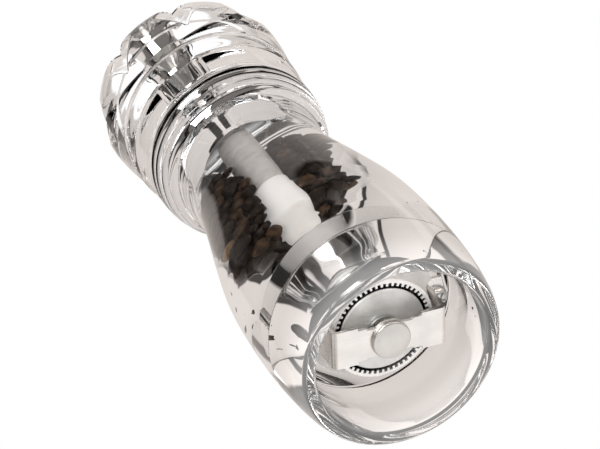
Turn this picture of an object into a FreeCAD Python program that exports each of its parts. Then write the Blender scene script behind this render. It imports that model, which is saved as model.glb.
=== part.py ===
import FreeCAD, Part
import math
import os

# Clear acrylic pepper mill with a steel grinding mechanism, standing on its base rim.
# Units are millimetres. The origin is the centre of the base rim and +Z runs up the spindle.
# +X runs along the strap that closes the grinder from below.

# ---- driving dimensions -------------------------------------------------------------------
TOTAL_HEIGHT = 161.0
HEAD_JOINT_Z = 109.7          # where the head sits on the body
HEAD_TOP_Z = 149.5            # top of the acrylic crown
WALL_GAP = 0.3                # gap between pieces that move past each other
RUN_GAP = 0.08                # radial clearance of a running fit

RIM_RADIUS = 24.9             # outer edge of the base rim
RECESS_RADIUS = 21.6          # wide recess under the body
RECESS_DEPTH = 21.0
RIM_EDGE = 1.0                # rounding of the rim's inner edge

STATOR_BORE = 13.1            # counterbore that takes the stator barrel
STATOR_BORE_TOP = 33.0
THROAT_RADIUS = 10.8          # narrow neck under the reservoir
THROAT_TOP = 37.5
RESERVOIR_RADIUS = 15.8
RESERVOIR_FLOOR = 52.0        # height where the funnel reaches full width

BEAD_COUNT = 4                # turned beads round the shoulder of the body
BEAD_BULGE = 0.4
NECK_RADIUS = 21.6            # bottom of the first groove, at the shoulder
NECK_FLARE = 2.7              # how much further out the last groove lies
SHOULDER_Z = 98.0

SPIGOT_LENGTH = 9.5           # how far the head reaches down into the body
SPIGOT_RADIUS = RESERVOIR_RADIUS - WALL_GAP
HEAD_BORE = 3.5
BAND_TOP_Z = 118.9            # step between the head's plain band and its ring
RING_TOP_Z = 126.2            # step between the ring and the lobed crown
LOBE_COUNT = 8
LOBE_RADIUS = 13.0
LOBE_START_Z = 127.0
LOBE_START_REACH = 18.6       # distance of a lobe's centre from the axis at LOBE_START_Z
LOBE_TOP_REACH = 13.6         # the same distance at the top of the crown
CROWN_TURN = 14.2             # degrees from +X to the middle of a lobe
PLATE_RADIUS = 8.8            # driving plate let into the spigot
PLATE_THICKNESS = 1.6
PLATE_POCKET_RADIUS = 9.0
PLATE_POCKET_DEPTH = 5.0
PLATE_SCREW_REACH = 6.2
PLATE_SCREW_RADIUS = 0.85
PLATE_SCREW_LENGTH = 8.0

SHAFT_SIDE = 4.6              # square spindle
SHAFT_CORNER = 3.0            # its corners are turned down to this radius
THREAD_RADIUS = 2.2
THREAD_DEPTH = 0.3
THREAD_PITCH = 0.8
THREAD_START_Z = 139.0
THREAD_TURNS = 22
TAIL_RADIUS = 2.1             # round lower end that runs in the pivot bush
TAIL_END_Z = 8.4

SLEEVE_RADIUS = 3.85
SLEEVE_BORE = 3.15
SLEEVE_BOTTOM_Z = 46.8
COLLAR_BOTTOM_Z = 50.5
COLLAR_TOP_Z = 67.0
COLLAR_RADIUS = 4.6
CONE_BOTTOM_Z = 32.0
CONE_SHOULDER_Z = 42.0
CONE_RADIUS = 6.3
CONE_WALL = 0.9
SPRING_CEILING_Z = 41.6       # inside end of the cone that the spring pushes against
SPRING_WIRE_RADIUS = 0.4
SPRING_RADIUS = 4.5
SPRING_PITCH = 2.4
SPRING_TURNS = 4

STATOR_LIP_Z = 12.0
STATOR_LIP_RADIUS = 13.3
STATOR_FLANGE_RADIUS = 17.2
STATOR_TEETH = 54
STATOR_TOOTH_ROOT = 12.4
STATOR_TOOTH_TIP = 11.6
STATOR_TOOTH_TOP_Z = 19.0
GASKET_THICKNESS = 0.4

ROTOR_BOTTOM_Z = 11.8
ROTOR_TOP_Z = 30.0
ROTOR_DISC_RADIUS = 10.9
ROTOR_TEETH = 36
ROTOR_VANES = 6

STRAP_Z = 7.4                 # underside of the strap
STRAP_THICKNESS = 0.9
STRAP_WIDTH = 10.0
STRAP_WAIST = 7.6             # narrower width beside the pivot cap
STRAP_HALF_SPAN = 14.6        # axis to the outside of a leg
STRAP_BEND = 1.4              # outside radius of the bends
FOOT_REACH = 20.6             # axis to the end of a foot
SCREW_REACH = 17.8            # axis to a screw
CAP_RADIUS = 4.9

PEPPER_BOTTOM_Z = 35.0
PEPPER_END_Z = 86.0           # end of the fill towards the head
PEPPER_LEVEL_Y = -3.0         # the corns lie along the +Y wall, up to this level
PEPPER_GAP = 0.5

KNOB_RADIUS = 7.8
KNOB_SEAT_Z = HEAD_TOP_Z - 0.6
KNOB_FLUTES = 20

AXIS = FreeCAD.Vector(0, 0, 1)
ORIGIN = FreeCAD.Vector(0, 0, 0)


# ---- helpers ------------------------------------------------------------------------------
def point(radius, height):
    """A point of a turned outline, in the XZ plane."""
    return FreeCAD.Vector(radius, 0, height)


class Outline:
    """Outline of a turned piece, drawn edge by edge and then spun about the Z axis."""

    def __init__(self, radius, height):
        self.first = point(radius, height)
        self.last = self.first
        self.edges = []

    def line(self, radius, height):
        """Straight edge to the given point."""
        target = point(radius, height)
        self.edges.append(Part.LineSegment(self.last, target).toShape())
        self.last = target
        return self

    def arc(self, middle, end):
        """Arc through the middle point to the end point."""
        target = point(*end)
        self.edges.append(Part.Arc(self.last, point(*middle), target).toShape())
        self.last = target
        return self

    def curve(self, points):
        """Smooth curve through the given points."""
        spline = Part.BSplineCurve()
        spline.interpolate([self.last] + [point(*pair) for pair in points])
        self.edges.append(spline.toShape())
        self.last = point(*points[-1])
        return self

    def dome(self, height):
        """Arc up or down to the axis that turns into part of a ball."""
        radius = self.last.x
        sag = height - self.last.z
        ball = (radius ** 2 + sag ** 2) / (2 * sag)
        half_angle = math.asin(radius / abs(ball)) / 2
        middle = (abs(ball) * math.sin(half_angle), height - ball + ball * math.cos(half_angle))
        return self.arc(middle, (0, height))

    def turned(self):
        """Close the outline and spin it into a solid."""
        if self.last.distanceToPoint(self.first) > 1e-6:
            self.edges.append(Part.LineSegment(self.last, self.first).toShape())
        face = Part.Face(Part.Wire(self.edges))
        return face.revolve(ORIGIN, AXIS, 360)


def cylinder(radius, bottom, top, x=0.0, y=0.0):
    """Upright cylinder between two heights."""
    return Part.makeCylinder(radius, top - bottom, FreeCAD.Vector(x, y, bottom))


def tube(outer, inner, bottom, top):
    """Upright tube between two heights."""
    return cylinder(outer, bottom, top).cut(cylinder(inner, bottom - 1, top + 1))


def box(x_range, y_range, z_range):
    """Upright box between pairs of limits."""
    size = [limits[1] - limits[0] for limits in (x_range, y_range, z_range)]
    corner = FreeCAD.Vector(x_range[0], y_range[0], z_range[0])
    return Part.makeBox(size[0], size[1], size[2], corner)


def square_bar(side, bottom, top):
    """Upright square bar centred on the axis."""
    half = side / 2
    return box((-half, half), (-half, half), (bottom, top))


def turned_copies(shape, count, start=0.0):
    """The shape and its copies, spread evenly round the axis."""
    copies = []
    for index in range(count):
        copy = shape.copy()
        copy.rotate(ORIGIN, AXIS, start + index * 360 / count)
        copies.append(copy)
    return copies


def toothed_wire(count, root, tip, height, turn=0.0, land=0.28):
    """Closed wire with flat-topped teeth; land is half a tooth's tip as a share of the pitch."""
    pitch = 2 * math.pi / count
    corners = []
    floor = land * 0.7
    tooth = ((-land, tip), (land, tip), (0.5 - floor, root), (0.5 + floor, root))
    for index in range(count):
        for share, radius in tooth:
            angle = math.radians(turn) + (index + share) * pitch
            corners.append(FreeCAD.Vector(radius * math.cos(angle), radius * math.sin(angle), height))
    return Part.makePolygon(corners + corners[:1])


def toothed_bar(count, root, tip, bottom, top, turn=0.0):
    """Straight bar with teeth all round."""
    face = Part.Face(toothed_wire(count, root, tip, bottom, turn))
    return face.extrude(FreeCAD.Vector(0, 0, top - bottom))


# ---- acrylic body -------------------------------------------------------------------------
def bead_base_radius(height):
    """Radius of the grooves between the shoulder beads."""
    share = (height - SHOULDER_Z) / (HEAD_JOINT_Z - SHOULDER_Z)
    return NECK_RADIUS + NECK_FLARE * math.sin(min(share * 1.25, 1.0) * math.pi / 2)


def body_shell():
    """Waisted acrylic body with its recess, mechanism bore, funnel and reservoir."""
    outline = Outline(RECESS_RADIUS + RIM_EDGE, 0).line(RIM_RADIUS - 0.9, 0)
    outline.arc((RIM_RADIUS + 0.15, 0.75), (RIM_RADIUS + 0.85, 2.4))
    outline.curve([(26.8, 9.5), (27.6, 20.0), (27.7, 33.0), (26.9, 47.0), (24.5, 61.0),
                   (21.5, 75.6), (20.0, 85.0), (20.4, 92.6), (21.0, SHOULDER_Z)])
    bead_height = (HEAD_JOINT_Z - SHOULDER_Z) / BEAD_COUNT
    outline.line(bead_base_radius(SHOULDER_Z), SHOULDER_Z + 0.3)
    low = SHOULDER_Z + 0.3
    for index in range(BEAD_COUNT):
        high = SHOULDER_Z + bead_height * (index + 1)
        middle = (low + high) / 2
        outline.arc((bead_base_radius(middle) + BEAD_BULGE, middle), (bead_base_radius(high), high))
        low = high
    outline.line(RESERVOIR_RADIUS, HEAD_JOINT_Z)
    outline.line(RESERVOIR_RADIUS, RESERVOIR_FLOOR)
    outline.curve([(14.5, 47.0), (12.2, 42.5), (THROAT_RADIUS, THROAT_TOP)])
    outline.line(THROAT_RADIUS, STATOR_BORE_TOP)
    outline.line(STATOR_BORE, STATOR_BORE_TOP)
    outline.line(STATOR_BORE, RECESS_DEPTH)
    outline.line(RECESS_RADIUS, RECESS_DEPTH)
    outline.line(RECESS_RADIUS, RIM_EDGE)
    bend = RIM_EDGE * (1 - math.sqrt(0.5))
    outline.arc((RECESS_RADIUS + bend, bend), (RECESS_RADIUS + RIM_EDGE, 0))
    shell = outline.turned()
    for side in (-1, 1):
        shell = shell.cut(cylinder(1.25, RECESS_DEPTH - 1, RECESS_DEPTH + 8.6, side * SCREW_REACH))
    return shell


def pepper_fill():
    """Peppercorns lying along one side of the reservoir, as one plain solid."""
    outer = RESERVOIR_RADIUS - PEPPER_GAP
    outline = Outline(CONE_RADIUS + PEPPER_GAP, PEPPER_BOTTOM_Z)
    outline.line(THROAT_RADIUS - PEPPER_GAP, PEPPER_BOTTOM_Z)
    outline.line(THROAT_RADIUS - PEPPER_GAP, THROAT_TOP)
    outline.curve([(11.7, 42.5), (14.0, 47.2), (outer, RESERVOIR_FLOOR + 1)])
    outline.line(outer, PEPPER_END_Z).line(COLLAR_RADIUS + PEPPER_GAP, PEPPER_END_Z)
    outline.line(COLLAR_RADIUS + PEPPER_GAP, COLLAR_BOTTOM_Z)
    outline.line(CONE_RADIUS + PEPPER_GAP, CONE_SHOULDER_Z)
    fill = outline.turned()
    air = box((-30, 30), (-30, PEPPER_LEVEL_Y), (PEPPER_BOTTOM_Z - 1, PEPPER_END_Z + 1))
    return fill.cut(air)


# ---- grinding mechanism -------------------------------------------------------------------
def grinder_stator():
    """Fixed grinding ring: toothed lip, flared skirt, flange and barrel."""
    flange_top = RECESS_DEPTH - GASKET_THICKNESS
    barrel = STATOR_BORE - 0.1
    outline = Outline(STATOR_TOOTH_TIP, STATOR_LIP_Z).line(STATOR_LIP_RADIUS - 0.3, STATOR_LIP_Z)
    outline.arc((STATOR_LIP_RADIUS - 0.09, STATOR_LIP_Z + 0.09), (STATOR_LIP_RADIUS, STATOR_LIP_Z + 0.3))
    outline.curve([(14.0, 15.5), (15.6, 18.4), (STATOR_FLANGE_RADIUS, flange_top - 0.8)])
    outline.line(STATOR_FLANGE_RADIUS, flange_top).line(barrel, flange_top)
    outline.line(barrel, STATOR_BORE_TOP - 0.2).line(12.2, STATOR_BORE_TOP - 0.2)
    outline.line(STATOR_TOOTH_TIP, STATOR_TOOTH_TOP_Z)
    ring = outline.turned()
    teeth = toothed_bar(STATOR_TEETH, STATOR_TOOTH_TIP, STATOR_TOOTH_ROOT,
                        STATOR_LIP_Z - 1, STATOR_TOOTH_TOP_Z)
    ring = ring.cut(teeth)
    slot = STRAP_WIDTH / 2 + 0.2
    inner = STRAP_HALF_SPAN - STRAP_THICKNESS - 0.15
    for side in (-1, 1):
        reach = sorted((side * inner, side * (STATOR_FLANGE_RADIUS + 1)))
        ring = ring.cut(box(reach, (-slot, slot), (STATOR_LIP_Z - 1, RECESS_DEPTH + 1)))
    return ring


def stator_gasket():
    """Thin ring between the stator's flange and the acrylic."""
    ring = tube(STATOR_FLANGE_RADIUS, STATOR_BORE, RECESS_DEPTH - GASKET_THICKNESS, RECESS_DEPTH)
    slot = STRAP_WIDTH / 2 + 0.2
    inner = STRAP_HALF_SPAN - STRAP_THICKNESS - 0.15
    for side in (-1, 1):
        reach = sorted((side * inner, side * (STATOR_FLANGE_RADIUS + 1)))
        ring = ring.cut(box(reach, (-slot, slot), (RECESS_DEPTH - 1, RECESS_DEPTH + 1)))
    return ring


def grinder_rotor():
    """Turning grinder: flat disc, fine teeth and twisted feeding vanes, on a square bore."""
    disc = Outline(0, ROTOR_BOTTOM_Z).line(ROTOR_DISC_RADIUS - 0.3, ROTOR_BOTTOM_Z)
    disc.line(ROTOR_DISC_RADIUS, ROTOR_BOTTOM_Z + 0.3).line(ROTOR_DISC_RADIUS, 13.4).line(0, 13.4)
    rotor = disc.turned()
    rotor = rotor.fuse(toothed_bar(ROTOR_TEETH, 10.0, 10.7, 13.4, 17.4))
    # Vanes as height, tip radius, root radius and twist in degrees, from the teeth upwards.
    stations = ((17.4, 10.4, 7.6, 0), (21.6, 9.4, 6.6, 14), (25.8, 7.8, 5.8, 28), (28.6, 6.2, 5.2, 38))
    sections = []
    for height, tip, root, turn in stations:
        sections.append(toothed_wire(ROTOR_VANES, root, tip, height, turn, 0.12))
    rotor = rotor.fuse(Part.makeLoft(sections, True, True))
    rotor = rotor.fuse(cylinder(5.2, 28.6, ROTOR_TOP_Z))
    rotor = rotor.cut(square_bar(SHAFT_SIDE + 0.1, ROTOR_BOTTOM_Z - 1, ROTOR_TOP_Z + 1))
    return rotor.removeSplitter()


def spring_washer():
    """Flat washer between the rotor and its spring."""
    return tube(5.2, SHAFT_CORNER + 0.15, ROTOR_TOP_Z + 0.1, ROTOR_TOP_Z + 0.8)


def rotor_spring():
    """Coil spring inside the feed cone that holds the rotor down."""
    bottom = ROTOR_TOP_Z + 0.8 + SPRING_WIRE_RADIUS
    helix = Part.makeHelix(SPRING_PITCH, SPRING_PITCH * SPRING_TURNS, SPRING_RADIUS)
    helix.translate(FreeCAD.Vector(0, 0, bottom))
    across = FreeCAD.Vector(0, 1, 0)
    circle = Part.makeCircle(SPRING_WIRE_RADIUS, point(SPRING_RADIUS, bottom), across)
    return Part.Wire(helix).makePipeShell([Part.Wire(circle)], True, True)


def rotor_clip():
    """Open retaining ring in the spindle's groove, under the rotor."""
    ring = tube(4.0, 1.7, 11.0, 11.6)
    return ring.cut(box((0, 5), (-1.2, 1.2), (10, 13)))


# ---- strap under the grinder --------------------------------------------------------------
def strap_plan(thickness_range):
    """Plan of the strap's flat middle: wide ends, a waist and small steps beside the cap."""
    end = STRAP_HALF_SPAN + 1
    wide = STRAP_WIDTH / 2
    waist = STRAP_WAIST / 2
    plan = box((-end, end), (-waist, waist), thickness_range)
    for side in (-1, 1):
        for start, half in ((8.2, wide), (5.9, waist + 0.45)):
            reach = sorted((side * start, side * end))
            plan = plan.fuse(box(reach, (-half, half), thickness_range))
    return plan.fuse(cylinder(CAP_RADIUS + 0.2, thickness_range[0], thickness_range[1]))


def bracket():
    """Bent stainless strap that spans the grinder and is screwed up at both ends."""
    top = RECESS_DEPTH
    outer = STRAP_HALF_SPAN
    inner = outer - STRAP_THICKNESS
    bend = STRAP_BEND
    small = STRAP_BEND - STRAP_THICKNESS
    diagonal = math.sqrt(0.5)
    wide = STRAP_WIDTH / 2
    low = STRAP_Z
    # Side view of one half, from the middle out to the end of the foot.
    outer_centre = point(outer - bend, low + bend)
    foot_centre = point(inner + STRAP_THICKNESS + small, top - STRAP_THICKNESS - small)
    corners = Outline(0, low).line(outer - bend, low)
    corners.arc((outer_centre.x + bend * diagonal, outer_centre.z - bend * diagonal),
                (outer, low + bend))
    corners.line(outer, top - STRAP_THICKNESS - small)
    corners.arc((foot_centre.x - small * diagonal, foot_centre.z + small * diagonal),
                (outer + small, top - STRAP_THICKNESS))
    corners.line(FOOT_REACH, top - STRAP_THICKNESS).line(FOOT_REACH, top)
    corners.line(outer + small, top)
    corners.arc((foot_centre.x - bend * diagonal, foot_centre.z + bend * diagonal),
                (inner, top - STRAP_THICKNESS - small))
    corners.line(inner, low + bend)
    corners.arc((outer_centre.x + small * diagonal, outer_centre.z - small * diagonal),
                (outer - bend, low + STRAP_THICKNESS))
    corners.line(0, low + STRAP_THICKNESS).line(0, low)
    face = Part.Face(Part.Wire(corners.edges))
    face.translate(FreeCAD.Vector(0, -wide, 0))
    half = face.extrude(FreeCAD.Vector(0, 2 * wide, 0))
    other = half.copy()
    other.rotate(ORIGIN, AXIS, 180)
    strap = half.fuse(other)
    middle = (low - 0.5, low + STRAP_THICKNESS + 0.5)
    end = STRAP_HALF_SPAN - STRAP_BEND - 0.6
    spare = box((-end, end), (-wide - 1, wide + 1), middle).cut(strap_plan(middle))
    strap = strap.cut(spare).cut(cylinder(3.4, low - 1, low + 2))
    for side in (-1, 1):
        strap = strap.cut(cylinder(1.6, top - 2, top + 1, side * SCREW_REACH))
        reach = sorted((side * (FOOT_REACH - 1.6), side * (FOOT_REACH + 1)))
        corner_cut = box(reach, (-wide - 1, wide + 1), (top - 2, top + 1))
        keep = cylinder(math.hypot(FOOT_REACH - 1.6, wide), top - 2, top + 1)
        strap = strap.cut(corner_cut.cut(keep))
    return strap.removeSplitter()


def bracket_screws():
    """Two pan-head screws that hold the strap's feet to the acrylic."""
    screws = []
    for side in (-1, 1):
        top = RECESS_DEPTH - STRAP_THICKNESS
        outline = Outline(0, top - 1.9).line(0.9, top - 1.9)
        outline.arc((2.1, top - 1.45), (2.5, top - 0.5)).line(2.5, top)
        outline.line(1.25, top).line(1.25, RECESS_DEPTH + 7.2).line(0, RECESS_DEPTH + 8.4)
        screw = outline.turned()
        for angle in (0, 90):
            cross = box((-1.6, 1.6), (-0.28, 0.28), (top - 3, top - 1.1))
            cross.rotate(ORIGIN, AXIS, angle + 25)
            screw = screw.cut(cross)
        screw.translate(FreeCAD.Vector(side * SCREW_REACH, 0, 0))
        screws.append(screw)
    return Part.Compound(screws)


def pivot_cap():
    """Slightly domed round cap on the middle of the strap."""
    outline = Outline(0, STRAP_Z).line(CAP_RADIUS, STRAP_Z).line(CAP_RADIUS, STRAP_Z - 0.55)
    outline.arc((CAP_RADIUS - 0.08, STRAP_Z - 0.85), (CAP_RADIUS - 0.35, STRAP_Z - 1.0))
    return outline.dome(STRAP_Z - 1.4).turned()


def pivot_bush():
    """Flanged bush in the strap that the spindle's tail runs in."""
    seat = STRAP_Z + STRAP_THICKNESS
    bush = cylinder(3.35, STRAP_Z + 0.02, seat + 1.2).fuse(cylinder(4.3, seat, seat + 0.8))
    return bush.cut(cylinder(TAIL_RADIUS + RUN_GAP, STRAP_Z - 1, seat + 3)).removeSplitter()


# ---- spindle ------------------------------------------------------------------------------
def drive_shaft():
    """Square spindle with a round tail, a clip groove and a threaded top."""
    bar = square_bar(SHAFT_SIDE, ROTOR_BOTTOM_Z, THREAD_START_Z)
    bar = bar.common(cylinder(SHAFT_CORNER, ROTOR_BOTTOM_Z, THREAD_START_Z))
    tail = Outline(0, TAIL_END_Z).line(TAIL_RADIUS - 0.4, TAIL_END_Z)
    tail.line(TAIL_RADIUS, TAIL_END_Z + 0.4)
    tail.line(TAIL_RADIUS, 10.95).line(1.6, 10.95).line(1.6, 11.65).line(TAIL_RADIUS, 11.65)
    tail.line(TAIL_RADIUS, ROTOR_BOTTOM_Z).line(0, ROTOR_BOTTOM_Z)
    thread = Outline(0, THREAD_START_Z).line(THREAD_RADIUS, THREAD_START_Z)
    for turn in range(THREAD_TURNS):
        crest = THREAD_START_Z + THREAD_PITCH * (turn + 1)
        thread.line(THREAD_RADIUS - THREAD_DEPTH, crest - THREAD_PITCH / 2)
        thread.line(THREAD_RADIUS, crest)
    top = THREAD_START_Z + THREAD_PITCH * THREAD_TURNS
    thread.line(THREAD_RADIUS - 0.5, top + 0.5).line(0, top + 0.5)
    return bar.fuse(tail.turned()).fuse(thread.turned())


def shaft_sleeve():
    """Translucent tube round the spindle, up to the driving plate."""
    plate_bottom = HEAD_JOINT_Z - SPIGOT_LENGTH + PLATE_POCKET_DEPTH - PLATE_THICKNESS
    return tube(SLEEVE_RADIUS, SLEEVE_BORE, SLEEVE_BOTTOM_Z, plate_bottom - 0.2)


def sleeve_collar():
    """White collar that joins the sleeve to the feed cone."""
    outline = Outline(SLEEVE_RADIUS + 0.02, COLLAR_BOTTOM_Z).line(COLLAR_RADIUS, COLLAR_BOTTOM_Z)
    outline.line(COLLAR_RADIUS, COLLAR_BOTTOM_Z + 9).line(SLEEVE_RADIUS + 0.4, COLLAR_TOP_Z - 0.4)
    return outline.line(SLEEVE_RADIUS + 0.02, COLLAR_TOP_Z).turned()


def feed_cone():
    """Translucent cone over the spring that leads the peppercorns outwards to the rotor."""
    neck = SLEEVE_RADIUS + 0.05
    top = COLLAR_BOTTOM_Z - 0.05
    outline = Outline(CONE_RADIUS - CONE_WALL, CONE_BOTTOM_Z).line(CONE_RADIUS, CONE_BOTTOM_Z)
    outline.line(CONE_RADIUS, CONE_SHOULDER_Z - 2)
    outline.curve([(CONE_RADIUS - 0.25, CONE_SHOULDER_Z + 1), (5.3, top - 5.5), (COLLAR_RADIUS, top)])
    outline.line(neck, top).line(neck, SLEEVE_BOTTOM_Z - 0.1)
    outline.line(SLEEVE_BORE, SLEEVE_BOTTOM_Z - 0.1).line(SLEEVE_BORE, SPRING_CEILING_Z + 1.8)
    outline.line(CONE_RADIUS - CONE_WALL, SPRING_CEILING_Z)
    return outline.turned()


# ---- head ---------------------------------------------------------------------------------
def crown_lobes():
    """Tilted round bars that leave the crown its lobes."""
    rise = HEAD_TOP_Z - LOBE_START_Z
    lean = FreeCAD.Vector(LOBE_TOP_REACH - LOBE_START_REACH, 0, rise)
    start = FreeCAD.Vector(LOBE_START_REACH, 0, LOBE_START_Z) - lean
    lobe = Part.makeCylinder(LOBE_RADIUS, lean.Length * 3, start, lean)
    lobes = turned_copies(lobe, LOBE_COUNT, CROWN_TURN)
    return lobes[0].multiFuse(lobes[1:] + [cylinder(12, LOBE_START_Z - 20, HEAD_TOP_Z + 20)])


def head_shell():
    """Acrylic head: spigot, band, bulge and lobed crown, with a bore for the spindle."""
    low = HEAD_JOINT_Z + WALL_GAP
    spigot_end = HEAD_JOINT_Z - SPIGOT_LENGTH
    pocket_top = spigot_end + PLATE_POCKET_DEPTH
    outline = Outline(PLATE_POCKET_RADIUS, spigot_end).line(SPIGOT_RADIUS - 0.8, spigot_end)
    outline.line(SPIGOT_RADIUS, spigot_end + 0.8).line(SPIGOT_RADIUS, low).line(23.9, low)
    outline.arc((24.45, low + 0.25), (24.65, low + 0.9))
    outline.curve([(24.9, low + 4.0), (25.05, low + 7.5), (24.95, BAND_TOP_Z)])
    outline.line(24.6, BAND_TOP_Z + 0.4).line(25.2, BAND_TOP_Z + 1.0)
    outline.curve([(25.75, BAND_TOP_Z + 4.1), (25.6, RING_TOP_Z)])
    outline.line(25.3, RING_TOP_Z + 0.4).line(25.8, RING_TOP_Z + 1.0)
    outline.curve([(26.5, HEAD_TOP_Z - 17.5), (27.1, HEAD_TOP_Z - 12.5), (27.4, HEAD_TOP_Z - 8.0),
                   (27.2, HEAD_TOP_Z - 4.9), (26.4, HEAD_TOP_Z - 2.3)])
    outline.arc((25.3, HEAD_TOP_Z - 0.8), (23.4, HEAD_TOP_Z))
    outline.line(10.5, HEAD_TOP_Z - 0.2).line(9.9, KNOB_SEAT_Z).line(HEAD_BORE, KNOB_SEAT_Z)
    outline.line(HEAD_BORE, pocket_top).line(PLATE_POCKET_RADIUS, pocket_top)
    head = outline.turned()
    crown_space = cylinder(40, LOBE_START_Z - 3, HEAD_TOP_Z + 5)
    waste = crown_space.cut(crown_lobes())
    head = head.cut(waste)
    for side in (-1, 1):
        hole = cylinder(PLATE_SCREW_RADIUS + 0.05, pocket_top - 1,
                        pocket_top - PLATE_THICKNESS + PLATE_SCREW_LENGTH + 0.6,
                        0, side * PLATE_SCREW_REACH)
        head = head.cut(hole)
    return head


def drive_plate():
    """Round steel plate in the head with a square hole for the spindle."""
    top = HEAD_JOINT_Z - SPIGOT_LENGTH + PLATE_POCKET_DEPTH
    plate = cylinder(PLATE_RADIUS, top - PLATE_THICKNESS, top)
    plate = plate.cut(square_bar(SHAFT_SIDE + 0.2, top - 3, top + 1))
    for side in (-1, 1):
        plate = plate.cut(cylinder(1.0, top - 3, top + 1, 0, side * PLATE_SCREW_REACH))
    return plate


def drive_plate_screws():
    """Two small screws that hold the driving plate to the head."""
    seat = HEAD_JOINT_Z - SPIGOT_LENGTH + PLATE_POCKET_DEPTH - PLATE_THICKNESS
    screws = []
    for side in (-1, 1):
        outline = Outline(0, seat + PLATE_SCREW_LENGTH)
        outline.line(PLATE_SCREW_RADIUS, seat + PLATE_SCREW_LENGTH - 1.0)
        outline.line(PLATE_SCREW_RADIUS, seat).line(1.7, seat)
        outline.line(1.7, seat - 0.3).dome(seat - 1.1)
        screw = outline.turned()
        screw = screw.cut(box((-2, 2), (-0.25, 0.25), (seat - 2, seat - 0.5)))
        screw.translate(FreeCAD.Vector(0, side * PLATE_SCREW_REACH, 0))
        screws.append(screw)
    return Part.Compound(screws)


def knob_washer():
    """Thin plastic washer between the knob and the acrylic."""
    return tube(6.2, THREAD_RADIUS + 0.2, KNOB_SEAT_Z + 0.02, KNOB_SEAT_Z + 0.6)


def top_knob():
    """Metal knob that screws onto the spindle and sets the grind."""
    low = KNOB_SEAT_Z + 0.65
    outline = Outline(THREAD_RADIUS + RUN_GAP, low).line(5.6, low)
    outline.curve([(5.3, low + 1.6), (6.4, low + 3.6), (KNOB_RADIUS, low + 5.4)])
    outline.line(KNOB_RADIUS, low + 8.6)
    outline.arc((KNOB_RADIUS - 0.55, low + 9.9), (KNOB_RADIUS - 1.9, low + 10.5))
    outline.dome(TOTAL_HEIGHT)
    outline.line(0, TOTAL_HEIGHT - 2.6).line(THREAD_RADIUS + RUN_GAP, TOTAL_HEIGHT - 3.4)
    knob = outline.turned()
    flute = cylinder(0.7, low + 2, TOTAL_HEIGHT + 1, KNOB_RADIUS + 0.42)
    for cutter in turned_copies(flute, KNOB_FLUTES):
        knob = knob.cut(cutter)
    return knob


# ---- all pieces ---------------------------------------------------------------------------
PIECES = {
    "body_shell": body_shell,
    "peppercorns": pepper_fill,
    "grinder_stator": grinder_stator,
    "stator_gasket": stator_gasket,
    "bracket": bracket,
    "bracket_screws": bracket_screws,
    "pivot_cap": pivot_cap,
    "pivot_bush": pivot_bush,
    "grinder_rotor": grinder_rotor,
    "rotor_clip": rotor_clip,
    "spring_washer": spring_washer,
    "rotor_spring": rotor_spring,
    "drive_shaft": drive_shaft,
    "shaft_sleeve": shaft_sleeve,
    "sleeve_collar": sleeve_collar,
    "feed_cone": feed_cone,
    "head_shell": head_shell,
    "drive_plate": drive_plate,
    "drive_plate_screws": drive_plate_screws,
    "knob_washer": knob_washer,
    "top_knob": top_knob,
}

os.makedirs("parts", exist_ok=True)
for name, make in PIECES.items():
    shape = make()
    state = "valid" if shape.isValid() else "NOT VALID"
    print(name, state, "solids", len(shape.Solids), "volume", round(shape.Volume, 1))
    shape.exportStep("parts/" + name + ".step")
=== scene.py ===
import math

import bpy
import numpy as np
from mathutils import Matrix, Vector, noise


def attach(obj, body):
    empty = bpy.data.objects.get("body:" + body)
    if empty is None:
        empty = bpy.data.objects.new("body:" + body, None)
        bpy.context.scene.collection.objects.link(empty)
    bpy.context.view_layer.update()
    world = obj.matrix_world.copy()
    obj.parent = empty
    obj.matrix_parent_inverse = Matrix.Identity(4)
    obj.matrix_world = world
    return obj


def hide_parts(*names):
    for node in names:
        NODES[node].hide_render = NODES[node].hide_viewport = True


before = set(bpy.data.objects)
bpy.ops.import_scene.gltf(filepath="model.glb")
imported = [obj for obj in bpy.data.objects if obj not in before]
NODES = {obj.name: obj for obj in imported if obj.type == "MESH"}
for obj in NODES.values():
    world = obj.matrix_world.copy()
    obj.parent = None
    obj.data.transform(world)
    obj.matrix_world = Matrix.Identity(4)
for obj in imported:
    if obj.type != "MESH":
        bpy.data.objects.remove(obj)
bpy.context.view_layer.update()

# ---- sizes, in millimetres, in the mill's own frame ---------------------------------------
MM = 0.001
HEAD_JOINT = 109.7
RIM_RADIUS = 24.9
RECESS_RADIUS = 21.6
RECESS_DEPTH = 21.0
STATOR_BORE = 13.1
STATOR_BORE_TOP = 33.0
THROAT_RADIUS = 10.8
THROAT_TOP = 37.5
RESERVOIR_RADIUS = 15.8
RESERVOIR_FLOOR = 52.0
FUNNEL = ((14.5, 47.0), (12.2, 42.5))  # between the reservoir and the throat
SHOULDER = 98.0
BEAD_COUNT = 4
BEAD_BULGE = 0.4
NECK_RADIUS = 21.6
NECK_FLARE = 2.7
SPIGOT_LENGTH = 9.5
SPIGOT_RADIUS = RESERVOIR_RADIUS - 0.3
HEAD_BORE = 3.5
PLATE_POCKET_RADIUS = 9.0
PLATE_POCKET_DEPTH = 5.0
HEAD_TOP = 149.5
BAND_TOP = 118.9
RING_TOP = 126.2
LOBE_COUNT = 8
LOBE_RADIUS = 13.0
LOBE_START = 127.0
LOBE_START_REACH = 18.6
LOBE_TOP_REACH = 13.6
CROWN_TURN = 14.2
TOOTH_FACE = (12.1, 12.5)     # painted gap shade on the grinder's steel: none below the first height, full above the second
PAINTED_RIM_GLOW = (2.0, 12.0)        # the painted glow in the rim fades between these heights
TURN_STEPS = 256
CROWN_STEPS = 384


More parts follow.
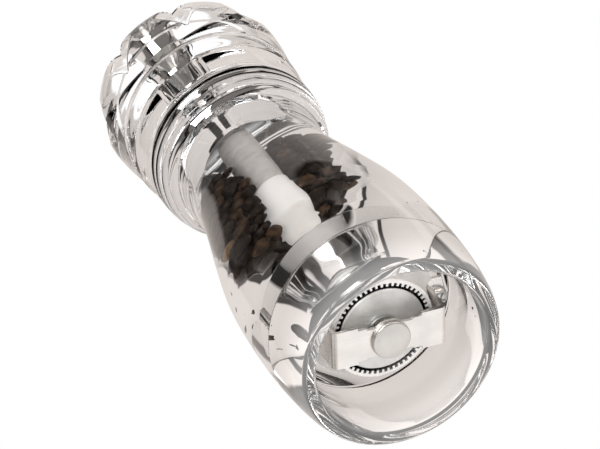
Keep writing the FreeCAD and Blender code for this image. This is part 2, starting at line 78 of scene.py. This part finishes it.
# ---- outlines and turned meshes -----------------------------------------------------------
def smooth(points, steps=8):
    """Points of a smooth curve through the given ones, without its first point."""
    ends = [tuple(2 * a - b for a, b in zip(points[0], points[1]))]
    ends.append(tuple(2 * a - b for a, b in zip(points[-1], points[-2])))
    knots = [np.array(p, float) for p in [ends[0]] + list(points) + [ends[1]]]
    result = []
    for before, start, end, after in zip(knots, knots[1:], knots[2:], knots[3:]):
        for step in range(1, steps + 1):
            t = step / steps
            value = 2 * start + (end - before) * t
            value += (2 * before - 5 * start + 4 * end - after) * t ** 2
            value += (3 * start - before - 3 * end + after) * t ** 3
            result.append(tuple(value / 2))
    return result


def bulge(start, end, height, steps=10):
    """Points of a shallow arc from start to end that stands out to the right by height."""
    chord = math.dist(start, end)
    radius = (chord ** 2 / 4 + height ** 2) / (2 * height)
    half = math.asin(chord / 2 / radius)
    along = ((end[0] - start[0]) / chord, (end[1] - start[1]) / chord)
    out = (along[1], -along[0])
    result = []
    for step in range(1, steps + 1):
        angle = -half + 2 * half * step / steps
        run = chord / 2 + radius * math.sin(angle)
        rise = radius * math.cos(angle) - radius + height
        result.append((start[0] + along[0] * run + out[0] * rise,
                       start[1] + along[1] * run + out[1] * rise))
    return result


def rounded(corners, steps=5):
    """Closed outline from (radius, height, fillet) corners."""
    result = []
    count = len(corners)
    for index, (x, z, fillet) in enumerate(corners):
        here = Vector((x, z))
        if not fillet:
            result.append((x, z))
            continue
        back = Vector(corners[index - 1][:2]) - here
        forth = Vector(corners[(index + 1) % count][:2]) - here
        back.normalize()
        forth.normalize()
        half = back.angle(forth) / 2
        reach = fillet / math.tan(half)
        centre = here + (back + forth).normalized() * (fillet / math.sin(half))
        first = here + back * reach - centre
        last = here + forth * reach - centre
        for step in range(steps + 1):
            spoke = first.lerp(last, step / steps).normalized() * fillet
            result.append(tuple(centre + spoke))
    return result


def plain(points):
    """The points as corners with no fillet."""
    return [(x, z, 0) for x, z in points]


def new_mesh(name, vertices, faces, body, sharp=35):
    """Mesh object from vertices in millimetres, smooth but for its sharp edges."""
    mesh = bpy.data.meshes.new(name)
    mesh.from_pydata([tuple(c * MM for c in v) for v in vertices], [], faces)
    mesh.validate()
    mesh.polygons.foreach_set("use_smooth", [True] * len(mesh.polygons))
    mesh.set_sharp_from_angle(angle=math.radians(sharp))
    piece = bpy.data.objects.new(name, mesh)
    bpy.context.scene.collection.objects.link(piece)
    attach(piece, body)
    return piece


def turned(name, outline, body, reach=None, steps=TURN_STEPS):
    """Spin a closed outline about Z; reach(radius, height, angle) may change each radius."""
    vertices = []
    for step in range(steps):
        angle = 2 * math.pi * step / steps
        for radius, height in outline:
            r = reach(radius, height, angle) if reach else radius
            vertices.append((r * math.cos(angle), r * math.sin(angle), height))
    count = len(outline)
    faces = []
    for step in range(steps):
        near = step * count
        far = (step + 1) % steps * count
        for index in range(count):
            after = (index + 1) % count
            faces.append((near + index, far + index, far + after, near + after))
    return new_mesh(name, vertices, faces, body)


# ---- materials ----------------------------------------------------------------------------
def mixed_colour(tree, kind, first, second):
    """Mix node that blends two colours in the given way, and its result."""
    node = tree.nodes.new("ShaderNodeMix")
    node.data_type = "RGBA"
    node.blend_type = kind
    node.inputs["Factor"].default_value = 1.0
    colours = [socket for socket in node.inputs if socket.type == "RGBA"]
    tree.links.new(first, colours[0])
    tree.links.new(second, colours[1])
    return node, next(socket for socket in node.outputs if socket.type == "RGBA")


class Surface:
    """A new node material with short calls for the nodes that it needs."""

    def __init__(self, name):
        self.material = bpy.data.materials.new(name)
        self.material.use_nodes = True
        self.tree = self.material.node_tree
        self.shader = self.tree.nodes["Principled BSDF"]
        self.place = self.add("ShaderNodeTexCoord").outputs["Object"]

    def add(self, kind, **inputs):
        """New node with the given input values or links."""
        node = self.tree.nodes.new(kind)
        for key, value in inputs.items():
            self.set(node, key, value)
        return node

    def set(self, node, key, value):
        """Set or link one input."""
        socket = node.inputs[key]
        if isinstance(value, bpy.types.NodeSocket):
            self.tree.links.new(value, socket)
        else:
            socket.default_value = value

    def finish(self, **inputs):
        """Set the shader's own inputs, named with _ for a space."""
        for key, value in inputs.items():
            self.set(self.shader, key.replace("_", " "), value)
        return self.material

    def noise(self, scale, detail=4.0, roughness=0.55, place=None):
        """Noise value, with scale in features per metre."""
        node = self.add("ShaderNodeTexNoise", Scale=scale, Detail=detail, Roughness=roughness)
        self.tree.links.new(place or self.place, node.inputs["Vector"])
        return node.outputs["Fac"]

    def stretched(self, x, y, z):
        """Object coordinates scaled along each axis."""
        node = self.add("ShaderNodeMapping", Vector=self.place, Scale=(x, y, z))
        return node.outputs["Vector"]

    def ramp(self, factor, stops):
        """Colour ramp through (position, colour) stops."""
        node = self.add("ShaderNodeValToRGB", Fac=factor)
        elements = node.color_ramp.elements
        while len(elements) < len(stops):
            elements.new(0.5)
        for element, (position, colour) in zip(elements, stops):
            element.position = position
            element.color = (*colour, 1) if len(colour) == 3 else colour
        return node.outputs["Color"]

    def span(self, factor, low, high):
        """Map 0 to 1 onto low to high."""
        node = self.add("ShaderNodeMapRange", Value=factor)
        node.inputs["To Min"].default_value = low
        node.inputs["To Max"].default_value = high
        return node.outputs["Result"]

    def from_axis(self, full):
        """Distance from the Z axis as a share of a full distance in millimetres."""
        flat = self.add("ShaderNodeVectorMath")
        flat.operation = "MULTIPLY"
        self.set(flat, 0, self.place)
        flat.inputs[1].default_value = (1 / MM / full, 1 / MM / full, 0)
        length = self.add("ShaderNodeVectorMath")
        length.operation = "LENGTH"
        self.set(length, 0, flat.outputs["Vector"])
        return length.outputs["Value"]

    def height(self, low, high):
        """0 at the low height and 1 at the high one, in millimetres."""
        parts = self.add("ShaderNodeSeparateXYZ", Vector=self.place)
        node = self.add("ShaderNodeMapRange", Value=parts.outputs["Z"])
        node.inputs["From Min"].default_value = low * MM
        node.inputs["From Max"].default_value = high * MM
        return node.outputs["Result"]

    def multiplied(self, first, second, share):
        """The first colour, multiplied by the second as far as the share says."""
        node, result = mixed_colour(self.tree, "MULTIPLY", first, second)
        self.set(node, "Factor", share)
        return result

    def bump(self, height, strength, distance):
        """Bump normal from a height, with distance in millimetres."""
        node = self.add("ShaderNodeBump", Height=height, Strength=strength, Distance=distance * MM)
        return node.outputs["Normal"]


def acrylic(name, glow=0.0):
    """Polished clear acrylic with faint flow ripples, hairline scuffs and any painted glow in its
    rim.
    """
    s = Surface(name)
    ripple = s.noise(45, detail=1.0)
    scuff = s.noise(900, detail=6.0, roughness=0.7)
    clear = s.ramp(ripple, [(0.3, (0.965, 0.98, 0.992)), (0.7, (0.985, 0.993, 1.0))])
    # painted light: an emission on the acrylic that fades out upwards from the rim
    if glow:
        s.finish(Emission_Color=(1.0, 0.98, 0.965, 1),
                 Emission_Strength=s.span(s.height(*PAINTED_RIM_GLOW), glow, 0.0))
    return s.finish(Base_Color=clear, Roughness=s.span(scuff, 0.0, 0.02), IOR=1.49,
                    Transmission_Weight=1.0, Specular_Tint=(0.1, 0.1, 0.1, 1),
                    Normal=s.bump(ripple, 0.12, 0.3))


def grinder_metal(name, low, high, metallic, roughness, gap_shade):
    """Satin hardened steel, slightly pitted, with painted shade in a ring by the gap between rotor
    and stator.
    """
    s = Surface(name)
    cloud = s.noise(220)
    grit = s.noise(2600, detail=3.0)
    steel = s.ramp(cloud, [(0.3, low), (0.7, high)])
    # painted shade: a dark ring by distance from the axis, standing in for the shadow in the gap
    # between rotor and stator
    gap_shade_ring = s.ramp(s.from_axis(20.0), gap_shade)
    return s.finish(Base_Color=s.multiplied(steel, gap_shade_ring, s.height(*TOOTH_FACE)),
                    Roughness=s.span(grit, roughness - 0.08, roughness + 0.09), Metallic=metallic,
                    Normal=s.bump(grit, 0.25, 0.05))


def brushed(name, tint, lines, roughness=0.28):
    """Brushed metal with fine lines across the given axis scales."""
    s = Surface(name)
    grain = s.noise(1.0, detail=5.0, roughness=0.65, place=s.stretched(*lines))
    cloud = s.noise(160, detail=2.0)
    dark = tuple(c * 0.86 for c in tint)
    return s.finish(Base_Color=s.ramp(cloud, [(0.3, dark), (0.7, tint)]), Metallic=1.0,
                    Roughness=s.span(grain, roughness - 0.08, roughness + 0.1),
                    Normal=s.bump(grain, 0.18, 0.04))


def frosted(name, low, high, clear, glow=0.0):
    """Frosted translucent plastic dusted with ground pepper, with an optional painted glow."""
    s = Surface(name)
    cloud = s.noise(300, detail=5.0, roughness=0.7)
    speck = s.noise(1500, detail=4.0)
    # painted light: an emission, uneven with the cloud noise, that lifts the plastic's brightness
    if glow:
        s.finish(Emission_Color=(1.0, 0.98, 0.95, 1),
                 Emission_Strength=s.span(cloud, 0.7 * glow, 1.3 * glow))
    return s.finish(Base_Color=s.ramp(cloud, [(0.35, low), (0.65, high)]), IOR=1.5,
                    Roughness=s.span(speck, 0.3, 0.55),
                    Transmission_Weight=clear, Subsurface_Weight=0.3,
                    Subsurface_Radius=(0.003, 0.003, 0.003), Subsurface_Scale=1.0,
                    Normal=s.bump(speck, 0.3, 0.08))


def corn_skin(name, low, high):
    """Wrinkled peppercorn skin."""
    s = Surface(name)
    cloud = s.noise(700, detail=5.0, roughness=0.7)
    crease = s.noise(1600, detail=6.0, roughness=0.75)
    return s.finish(Base_Color=s.ramp(cloud, [(0.35, low), (0.62, high)]),
                    Roughness=s.span(crease, 0.4, 0.75), Specular_IOR_Level=0.25,
                    Normal=s.bump(crease, 0.9, 0.35))


def rubber():
    """Thin dark elastomer."""
    s = Surface("dark_rubber")
    cloud = s.noise(500)
    black = s.ramp(cloud, [(0.3, (0.03, 0.03, 0.03)), (0.7, (0.07, 0.07, 0.07))])
    return s.finish(Base_Color=black, Roughness=0.6, Normal=s.bump(cloud, 0.2, 0.05))


# the body's acrylic gets a painted glow near its rim
ACRYLIC = acrylic("clear_acrylic", 0.16)
HEAD_ACRYLIC = acrylic("clear_acrylic_head")
# painted shade: the stator is dark inside about 12.2 mm from the axis, the rotor outside about 10.6
# mm, shading the gap between them
STATOR = grinder_metal("stator_steel", (0.74, 0.73, 0.72), (0.88, 0.87, 0.86), 0.35, 0.5,
                       [(0.61, (0.02, 0.02, 0.02)), (0.63, (1, 1, 1))])
ROTOR = grinder_metal("rotor_steel", (0.58, 0.58, 0.57), (0.76, 0.76, 0.75), 0.7, 0.46,
                      [(0.50, (1, 1, 1)), (0.53, (0.05, 0.05, 0.05))])
STRAP = brushed("brushed_strap", (0.86, 0.83, 0.80), (60, 2600, 300))
CAP = brushed("brushed_cap", (0.72, 0.70, 0.67), (1200, 200, 300), 0.3)
STEEL = brushed("bright_steel", (0.62, 0.62, 0.61), (900, 900, 60))
KNOB = brushed("satin_knob", (0.76, 0.76, 0.76), (200, 200, 3000), 0.3)
SLEEVE = frosted("frosted_sleeve", (0.66, 0.64, 0.62), (0.90, 0.89, 0.87), 0.15)
# the cone and the collar carry a painted glow
CONE = frosted("frosted_cone", (0.84, 0.81, 0.77), (0.94, 0.92, 0.89), 0.1, 0.15)
COLLAR = frosted("white_collar", (0.93, 0.91, 0.88), (0.98, 0.97, 0.95), 0.0, 0.2)
BUSH = frosted("bush_plastic", (0.78, 0.76, 0.70), (0.86, 0.84, 0.80), 0.0)
RUBBER = rubber()
CORN_DARK = corn_skin("corn_dark", (0.006, 0.004, 0.003), (0.045, 0.027, 0.016))
CORN_BROWN = corn_skin("corn_brown", (0.02, 0.011, 0.006), (0.11, 0.062, 0.032))
CORN_TAN = corn_skin("corn_tan", (0.22, 0.12, 0.05), (0.50, 0.31, 0.15))

NODE_MATERIALS = {
    "grinder_stator": STATOR, "grinder_rotor": ROTOR, "stator_gasket": RUBBER,
    "bracket": STRAP, "pivot_cap": CAP, "bracket_screws": STEEL, "pivot_bush": BUSH,
    "rotor_clip": STEEL, "spring_washer": STEEL, "rotor_spring": STEEL, "drive_shaft": STEEL,
    "shaft_sleeve": SLEEVE, "sleeve_collar": COLLAR, "feed_cone": CONE, "drive_plate": STEEL,
    "drive_plate_screws": STEEL, "knob_washer": BUSH, "top_knob": KNOB,
}


def dress(piece, material):
    """Give a piece its one material."""
    piece.data.materials.clear()
    piece.data.materials.append(material)


for node_name, material in NODE_MATERIALS.items():
    dress(NODES[node_name], material)


# ---- acrylic body and head ----------------------------------------------------------------
def groove_radius(height):
    """Radius of the grooves between the shoulder beads."""
    share = (height - SHOULDER) / (HEAD_JOINT - SHOULDER)
    return NECK_RADIUS + NECK_FLARE * math.sin(min(share * 1.25, 1.0) * math.pi / 2)


def body_outline():
    """Closed outline of the body, up the outside and down the inside."""
    flank = [(25.75, 2.4), (26.8, 9.5), (27.6, 20.0), (27.7, 33.0), (26.9, 47.0), (24.5, 61.0),
             (21.5, 75.6), (20.0, 85.0), (20.4, 92.6), (21.0, SHOULDER)]
    corners = [(RECESS_RADIUS + 0.02, 0, 1.0), (RIM_RADIUS, 0, 1.2)]
    corners += plain(smooth(flank))
    low = (groove_radius(SHOULDER), SHOULDER + 0.3)
    corners.append((*low, 0.15))
    for index in range(BEAD_COUNT):
        height = SHOULDER + (HEAD_JOINT - SHOULDER) * (index + 1) / BEAD_COUNT
        high = (groove_radius(height), height)
        corners += plain(bulge(low, high, BEAD_BULGE))
        low = high
    corners += [(RESERVOIR_RADIUS, HEAD_JOINT, 0.5)]
    funnel = [(RESERVOIR_RADIUS, RESERVOIR_FLOOR), *FUNNEL, (THROAT_RADIUS, THROAT_TOP)]
    corners += plain([funnel[0]] + smooth(funnel))
    corners += [(THROAT_RADIUS, STATOR_BORE_TOP, 0.3), (STATOR_BORE, STATOR_BORE_TOP, 0.3),
                (STATOR_BORE, RECESS_DEPTH, 0.2), (RECESS_RADIUS, RECESS_DEPTH, 0.6)]
    return rounded(corners)


def lobe_reach(height, angle):
    """How far the crown's lobes reach from the axis at a height and an angle."""
    share = (height - LOBE_START) / (HEAD_TOP - LOBE_START)
    centre = LOBE_START_REACH + (LOBE_TOP_REACH - LOBE_START_REACH) * share
    pitch = 2 * math.pi / LOBE_COUNT
    swing = (angle - math.radians(CROWN_TURN)) % pitch
    swing = min(swing, pitch - swing)
    return centre * math.cos(swing) + math.sqrt(LOBE_RADIUS ** 2 - (centre * math.sin(swing)) ** 2)


def head_outline():
    """Closed outline of the head, and the flank alone."""
    low = HEAD_JOINT + 0.3
    spigot_end = HEAD_JOINT - SPIGOT_LENGTH
    band = [(24.65, low + 0.9), (24.9, low + 4.0), (25.05, low + 7.5), (24.95, BAND_TOP)]
    ring = [(25.2, BAND_TOP + 1.0), (25.75, BAND_TOP + 4.1), (25.6, RING_TOP)]
    flank = [(25.8, RING_TOP + 1.0), (26.5, HEAD_TOP - 17.5), (27.1, HEAD_TOP - 12.5),
             (27.4, HEAD_TOP - 8.0), (27.2, HEAD_TOP - 4.9), (26.4, HEAD_TOP - 2.3),
             (25.3, HEAD_TOP - 0.8), (23.4, HEAD_TOP)]
    corners = [(PLATE_POCKET_RADIUS, spigot_end, 0.3), (SPIGOT_RADIUS, spigot_end, 0.8),
               (SPIGOT_RADIUS, low, 0.2), (24.55, low, 0.6)]
    corners += plain([band[0]] + smooth(band))
    corners += [(24.6, BAND_TOP + 0.4, 0.1)]
    corners += plain([ring[0]] + smooth(ring))
    corners += [(25.3, RING_TOP + 0.4, 0.1)]
    corners += plain([flank[0]] + smooth(flank))
    corners += [(10.5, HEAD_TOP - 0.2, 0.2), (9.9, HEAD_TOP - 0.6, 0.1),
                (HEAD_BORE, HEAD_TOP - 0.6, 0.2), (HEAD_BORE, spigot_end + PLATE_POCKET_DEPTH, 0.2),
                (PLATE_POCKET_RADIUS, spigot_end + PLATE_POCKET_DEPTH, 0.2)]
    return rounded(corners), flank


body_glass = turned("body_glass", body_outline(), "body")
dress(body_glass, ACRYLIC)
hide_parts("body_shell")

HEAD_PROFILE, HEAD_FLANK = head_outline()
FLANK_CURVE = np.array(sorted(smooth(HEAD_FLANK), key=lambda p: p[1]))


def crown_reach(radius, height, angle):
    """Radius of the head at an angle, drawn in where a valley between two lobes cuts it."""
    if height < LOBE_START - 4 or radius < 12:
        return radius
    full = float(np.interp(height, FLANK_CURVE[:, 1], FLANK_CURVE[:, 0]))
    full = max(full, 25.5)
    lobe = lobe_reach(height, angle)
    blend = 0.5
    mixed = -blend * math.log(math.exp(-(lobe - full) / blend) + 1) + lobe
    mixed = min(mixed, full)
    return radius * (1 - (1 - mixed / full) * min(1.0, (radius - 12) / 8))


head_glass = turned("head_glass", HEAD_PROFILE, "head", crown_reach, CROWN_STEPS)
dress(head_glass, HEAD_ACRYLIC)
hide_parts("head_shell")


# ---- peppercorns --------------------------------------------------------------------------
CORN_RADIUS = 2.0
CORN_COUNT = 520
DARK_SHARE = 0.74             # the rest are brown, and a few are tan
TAN_SHARE = 0.008
SETTLE_STEPS = 260
SETTLE_PUSH = 0.06            # how far each step moves the corns towards +Y
FILL_BOTTOM = 36.0
FILL_END = 86.0               # end of the fill towards the head
FILL_LEVEL = -3.0             # its surface; the corns lie along the +Y wall


def wall_radius(height):
    """Inner radius of the reservoir."""
    funnel = [(THROAT_RADIUS, THROAT_TOP), *reversed(FUNNEL), (RESERVOIR_RADIUS, RESERVOIR_FLOOR)]
    return np.interp(height, [z for r, z in funnel], [r for r, z in funnel])


def core_radius(height):
    """Outer radius of the sleeve, collar and cone that the corns lie round."""
    profile = [(6.3, 42), (5.3, 45), (4.6, 50.5), (4.6, 59.5), (4.25, 67), (3.85, 110)]
    return np.interp(height, [z for r, z in profile], [r for r, z in profile])


def packed_places(count, rng):
    """Centres of corns settled against the +Y wall, found by pushing overlaps apart."""
    height = FILL_BOTTOM + 2 + (FILL_END - FILL_BOTTOM - 4) * rng.uniform(0, 1, count) ** 0.8
    angle = rng.uniform(-0.1, math.pi + 0.1, count)
    middle = (wall_radius(height) + core_radius(height)) / 2
    centres = np.stack([middle * np.cos(angle), middle * np.sin(angle), height], 1)
    for step in range(SETTLE_STEPS):
        gap = centres[:, None, :] - centres[None, :, :]
        distance = np.linalg.norm(gap, axis=2) + np.eye(count) * 99
        overlap = np.clip(2 * CORN_RADIUS * 0.95 - distance, 0, None)
        centres += (gap / distance[:, :, None] * overlap[:, :, None]).sum(1) * 0.3
        centres[:, 1] += SETTLE_PUSH
        centres[:, 2] = np.clip(centres[:, 2], FILL_BOTTOM + CORN_RADIUS, FILL_END - CORN_RADIUS)
        radius = np.linalg.norm(centres[:, :2], axis=1) + 1e-9
        low = core_radius(centres[:, 2]) + CORN_RADIUS * 1.05
        high = wall_radius(centres[:, 2]) - CORN_RADIUS * 1.08
        held = np.clip(radius, np.minimum(low, high), high)
        centres[:, :2] *= (held / radius)[:, None]
    return centres[centres[:, 1] > FILL_LEVEL]


def corn_shape(seed, rings=12, sides=18):
    """Unit peppercorn: a ball with creases and uneven sides."""
    offset = Vector((seed * 7.3, seed * 3.1, seed * 5.7))
    vertices = []
    for ring in range(rings + 1):
        for side in range(sides):
            polar = math.pi * ring / rings
            turn = 2 * math.pi * side / sides
            flat = math.sin(polar)
            spot = Vector((flat * math.cos(turn), flat * math.sin(turn), math.cos(polar)))
            folds = abs(noise.noise(spot * 3.2 + offset))
            uneven = noise.noise(spot * 1.1 + offset)
            vertices.append(spot * (1.0 - 0.34 * (0.5 - folds) + 0.10 * uneven + 0.06))
    faces = []
    for ring in range(rings):
        for side in range(sides):
            after = (side + 1) % sides
            faces.append((ring * sides + side, (ring + 1) * sides + side,
                          (ring + 1) * sides + after, ring * sides + after))
    return vertices, faces


def corns(name, centres, material, rng, size):
    """One piece made of many peppercorns."""
    shapes = [corn_shape(seed) for seed in range(6)]
    vertices = []
    faces = []
    for centre in centres:
        shape_vertices, shape_faces = shapes[rng.integers(len(shapes))]
        turn = Matrix.Rotation(rng.uniform(0, 6.28), 3, Vector(rng.normal(size=3)).normalized())
        scale = size * rng.uniform(0.86, 1.08)
        start = len(vertices)
        vertices += [tuple(Vector(centre) + turn @ v * scale) for v in shape_vertices]
        faces += [tuple(start + i for i in face) for face in shape_faces]
    piece = new_mesh(name, vertices, faces, "body", sharp=180)
    dress(piece, material)
    return piece


def pepper():
    """All the corns, in three colours."""
    rng = np.random.default_rng(7)
    centres = packed_places(CORN_COUNT, rng)
    kind = rng.uniform(size=len(centres))
    dark = kind < DARK_SHARE
    tan = kind >= 1 - TAN_SHARE
    pieces = [corns("corns_dark", centres[dark], CORN_DARK, rng, CORN_RADIUS),
              corns("corns_brown", centres[~dark & ~tan], CORN_BROWN, rng, CORN_RADIUS),
              corns("corns_tan", centres[tan], CORN_TAN, rng, CORN_RADIUS * 0.95)]
    for piece in pieces:
        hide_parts("peppercorns")


pepper()

# ---- camera -------------------------------------------------------------------------------
CAMERA_PLACE = Vector((-0.18585, -0.31217, -0.42380))
CAMERA_FORWARD = Vector((0.3056, 0.5126, 0.8024))
PICTURE_UP = Vector((0.0354, -0.9994, 0.0018))


def camera():
    """Camera looking up at the base from the front left, with the mill's -Y side uppermost."""
    data = bpy.data.cameras.new("camera")
    data.lens = 144
    data.sensor_width = 36
    data.clip_start = 0.01
    data.clip_end = 50
    cam = bpy.data.objects.new("camera", data)
    bpy.context.scene.collection.objects.link(cam)
    back = -CAMERA_FORWARD.normalized()
    right = PICTURE_UP.cross(back).normalized()
    up = back.cross(right)
    turn = Matrix((right, up, back)).transposed().to_4x4()
    cam.matrix_world = Matrix.Translation(CAMERA_PLACE) @ turn
    bpy.context.scene.camera = cam


camera()


# ---- stage and light ----------------------------------------------------------------------
def stage_plane(name, centre, normal, size, colour):
    """Square plain surface that isn't part of the object."""
    mesh = bpy.data.meshes.new(name)
    half = size / 2
    corners = [(-half, -half, 0), (half, -half, 0), (half, half, 0), (-half, half, 0)]
    mesh.from_pydata(corners, [], [(0, 1, 2, 3)])
    plane = bpy.data.objects.new(name, mesh)
    bpy.context.scene.collection.objects.link(plane)
    turn = Vector(normal).to_track_quat("Z", "Y").to_matrix().to_4x4()
    plane.matrix_world = Matrix.Translation(centre) @ turn
    s = Surface(name)
    cloud = s.noise(3.0)
    low = tuple(c * 0.97 for c in colour)
    tint = s.ramp(cloud, [(0.3, low), (0.7, colour)])
    dress(plane, s.finish(Base_Color=tint, Roughness=0.8,
                          Emission_Color=tint, Emission_Strength=0.7))
    plane.visible_glossy = False
    plane.visible_transmission = False
    return plane


def soft_light(name, place, size, power):
    """Square soft light aimed at the mill's middle."""
    data = bpy.data.lights.new(name, "AREA")
    data.shape = "SQUARE"
    data.size = size
    data.energy = power
    light = bpy.data.objects.new(name, data)
    bpy.context.scene.collection.objects.link(light)
    place = Vector(place)
    aim = Vector((0, 0, 0.09)) - place
    turn = aim.to_track_quat("-Z", "Y").to_matrix().to_4x4()
    light.matrix_world = Matrix.Translation(place) @ turn


class Studio:
    """World node tree: white in view, and a studio that only the mill's surfaces see."""

    def __init__(self):
        world = bpy.data.worlds.new("studio")
        bpy.context.scene.world = world
        world.use_nodes = True
        self.tree = world.node_tree
        self.tree.nodes.clear()
        self.direction = self.tree.nodes.new("ShaderNodeTexCoord").outputs["Generated"]

    def link(self, start, end):
        """Join two sockets."""
        self.tree.links.new(start, end)

    def bands(self, axis, stops):
        """Grey that changes with the direction's share along an axis, from -1 to 1."""
        dot = self.tree.nodes.new("ShaderNodeVectorMath")
        dot.operation = "DOT_PRODUCT"
        dot.inputs[1].default_value = Vector(axis).normalized()
        self.link(self.direction, dot.inputs[0])
        span = self.tree.nodes.new("ShaderNodeMapRange")
        span.inputs["From Min"].default_value = -1
        self.link(dot.outputs["Value"], span.inputs["Value"])
        ramp = self.tree.nodes.new("ShaderNodeValToRGB")
        self.link(span.outputs["Result"], ramp.inputs["Fac"])
        elements = ramp.color_ramp.elements
        while len(elements) < len(stops):
            elements.new(0.5)
        for element, (share, grey) in zip(elements, stops):
            element.position = (share + 1) / 2
            element.color = (grey, grey * 0.985, grey * 0.975, 1)
        return ramp.outputs["Color"]

    def mixed(self, kind, first, second):
        """Two greys multiplied or lightened."""
        return mixed_colour(self.tree, kind, first, second)[1]

    def finish(self, grey, strength):
        """Use the grey for every ray but the camera's own."""
        glow = self.tree.nodes.new("ShaderNodeBackground")
        self.link(grey, glow.inputs["Color"])
        glow.inputs["Strength"].default_value = strength
        white = self.tree.nodes.new("ShaderNodeBackground")
        white.inputs["Color"].default_value = (1, 1, 1, 1)
        path = self.tree.nodes.new("ShaderNodeLightPath")
        mix = self.tree.nodes.new("ShaderNodeMixShader")
        out = self.tree.nodes.new("ShaderNodeOutputWorld")
        self.link(path.outputs["Is Camera Ray"], mix.inputs[0])
        self.link(glow.outputs[0], mix.inputs[1])
        self.link(white.outputs[0], mix.inputs[2])
        self.link(mix.outputs[0], out.inputs[0])


# Each list holds (share, grey) pairs; a share of 1 looks straight along the list's axis. The
# photographed mill lies on its +Y side, so -Y is up in the studio.
STUDIO_POWER = 3.2
ROOM_BANDS = ((-1.0, 1.0), (-0.74, 0.95), (-0.70, 0.26), (-0.20, 0.24),
              (-0.17, 0.02), (-0.08, 0.015), (-0.05, 0.20), (1.0, 0.25))
FRONT_SHADE = (-0.2, -0.55, -0.8)
FRONT_BANDS = ((-1.0, 1.0), (0.64, 1.0), (0.70, 0.2), (1.0, 0.2))
SIDE_FLAG = (-1.0, 0.1, 0.1)
FLAG_BANDS = ((-1.0, 1.0), (0.62, 1.0), (0.66, 0.1), (0.84, 0.1), (0.88, 1.0))
RIGHT_FLAG = (0.34, -0.62, 0.71)
LEFT_FLAG = (-0.54, 0.0, 0.84)
TOP_FLAG = (0.22, -0.88, 0.42)
PATCH_BANDS = ((-1.0, 1.0), (0.90, 1.0), (0.92, 0.04), (1.0, 0.04))
STRAP_BOARD = (0.31, 0.51, -0.80)
BOARD_BANDS = ((-1.0, 0.0), (0.89, 0.0), (0.92, 0.36), (1.0, 0.36))
HEAD_BOARD = (0, 0, 1)
HEAD_BANDS = ((-1.0, 0.0), (0.74, 0.0), (0.82, 0.2), (1.0, 0.2))


def studio():
    """Light all round with a dark line at the horizon, dark flags and two bright boards."""
    sky = Studio()
    grey = sky.mixed("LIGHTEN", sky.bands((0, 1, 0), ROOM_BANDS), sky.bands(HEAD_BOARD, HEAD_BANDS))
    for axis, stops in ((FRONT_SHADE, FRONT_BANDS), (SIDE_FLAG, FLAG_BANDS),
                        (RIGHT_FLAG, PATCH_BANDS), (LEFT_FLAG, PATCH_BANDS),
                        (TOP_FLAG, PATCH_BANDS)):
        grey = sky.mixed("MULTIPLY", grey, sky.bands(axis, stops))
    grey = sky.mixed("LIGHTEN", grey, sky.bands(STRAP_BOARD, BOARD_BANDS))
    sky.finish(grey, STUDIO_POWER)


studio()
stage_plane("floor", (0, 0, -1.6), (0, 0, 1), 16, (0.86, 0.86, 0.85))
soft_light("front", (-0.5, -0.5, -0.9), 0.5, 6)
bpy.context.scene.view_settings.view_transform = "Standard"
